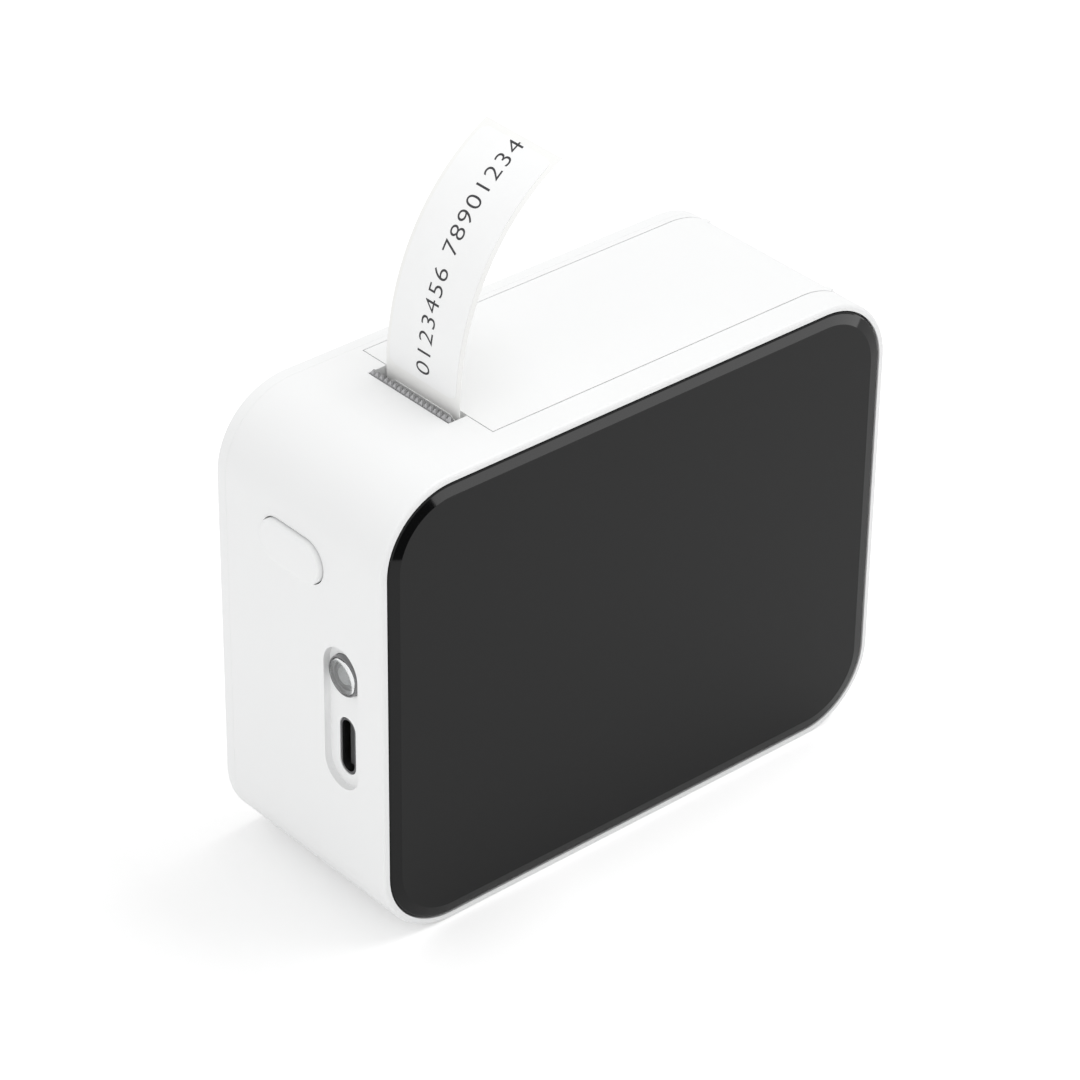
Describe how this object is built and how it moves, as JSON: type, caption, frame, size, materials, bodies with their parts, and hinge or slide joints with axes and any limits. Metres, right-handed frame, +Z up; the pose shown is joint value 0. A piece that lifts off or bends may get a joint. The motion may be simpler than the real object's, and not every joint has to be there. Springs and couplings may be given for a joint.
{
  "type": "portable label printer",
  "caption": "Upright pocket label printer with a glossy front panel, a hinged top lid over a label roll, a serrated tear bar and a printed label curling out of its slot",
  "frame": {"origin": "centre of the bottom face", "axes": "+X towards the hinge end of the lid, -Y out of the front panel, +Z up"},
  "size_m": [0.0928, 0.0363, 0.1063],
  "materials": {
    "white_shell": "fine satin",
    "black_panel": "high gloss",
    "white_lid": "fine satin",
    "white_button": "fine satin",
    "lens": "frosted",
    "dark_steel": "blackened",
    "steel": "ground",
    "zinc_steel": "zinc plated",
    "spring_steel": "drawn",
    "grey_plastic": "moulded",
    "black_plastic": "moulded",
    "gear_plastic": "acetal",
    "brass": "turned",
    "rubber": "ground",
    "ceramic": "glazed",
    "aluminium": "machined",
    "motor_steel": "drawn can",
    "paper_liner": "smooth paper",
    "paper_label": "coated paper",
    "paper_edge": "wound edges",
    "board_green": "solder mask",
    "battery_wrap": "foil",
    "foam": "foam"
  },
  "bodies": {
    "housing": {"main_shell": "white_shell", "rear_cover": "white_shell", "front_panel": "black_panel", "housing_screws": "zinc_steel", "hinge_pin": "steel", "tear_bar": "dark_steel", "print_chassis": "grey_plastic", "chassis_screws": "zinc_steel", "print_head": "ceramic", "heat_sink": "aluminium", "head_spring": "spring_steel", "gap_sensor": "black_plastic", "idler_axle": "steel", "stepper_motor": "motor_steel", "roll_bay": "grey_plastic", "bay_screws": "zinc_steel", "liner_tape": "paper_liner", "printed_label": "paper_label", "next_label": "paper_label", "main_board": "board_green", "board_screws": "zinc_steel", "board_chips": "black_plastic", "board_connectors": "gear_plastic", "usb_shell": "steel", "usb_tongue": "black_plastic", "power_switch": "black_plastic", "status_led": "lens", "battery": "battery_wrap", "battery_pad": "foam"},
    "lid_body": {"lid": "white_lid", "platen_bushings": "brass"},
    "platen": {"platen_roller": "rubber", "platen_shaft": "steel", "platen_gear": "gear_plastic"},
    "idler": {"idler_gear": "gear_plastic"},
    "rotor": {"motor_pinion": "brass", "motor_shaft": "steel"},
    "roll": {"label_roll": "paper_edge", "roll_core": "paper_liner", "roll_spindle": "grey_plastic"},
    "release": {"release_button": "white_button", "latch_slider": "grey_plastic", "latch_spring": "spring_steel"},
    "power": {"power_lens": "lens"}
  },
  "joints": [
    {"name": "lid_hinge", "type": "hinge", "parent": "housing", "child": "lid_body", "pos_m": [0.043, 0, 0.055], "axis": [0, 1, 0], "range_deg": [0, 90]},
    {"name": "roll_spin", "type": "hinge", "parent": "housing", "child": "roll", "pos_m": [0.008, 0, 0.034], "axis": [0, 1, 0], "continuous": true},
    {"name": "platen_spin", "type": "hinge", "parent": "lid_body", "child": "platen", "pos_m": [-0.02035, 0, 0.063], "axis": [0, 1, 0], "continuous": true},
    {"name": "idler_spin", "type": "hinge", "parent": "housing", "child": "idler", "pos_m": [-0.0262, 0, 0.05489], "axis": [0, 1, 0], "continuous": true},
    {"name": "motor_spin", "type": "hinge", "parent": "housing", "child": "rotor", "pos_m": [-0.03357, 0, 0.04973], "axis": [0, 1, 0], "continuous": true},
    {"name": "release_push", "type": "slide", "parent": "housing", "child": "release", "axis": [1, 0, 0], "range_m": [0, 0.0015], "stiffness_N_per_m": 1200},
    {"name": "power_push", "type": "slide", "parent": "housing", "child": "power", "axis": [1, 0, 0], "range_m": [0, 0.0004], "stiffness_N_per_m": 2000}
  ],
  "couplings": [
    {"joint": "platen_spin", "follows": "roll_spin", "ratio": 5.3501},
    {"joint": "idler_spin", "follows": "roll_spin", "ratio": -3.5668},
    {"joint": "motor_spin", "follows": "roll_spin", "ratio": 7.1335}
  ]
}
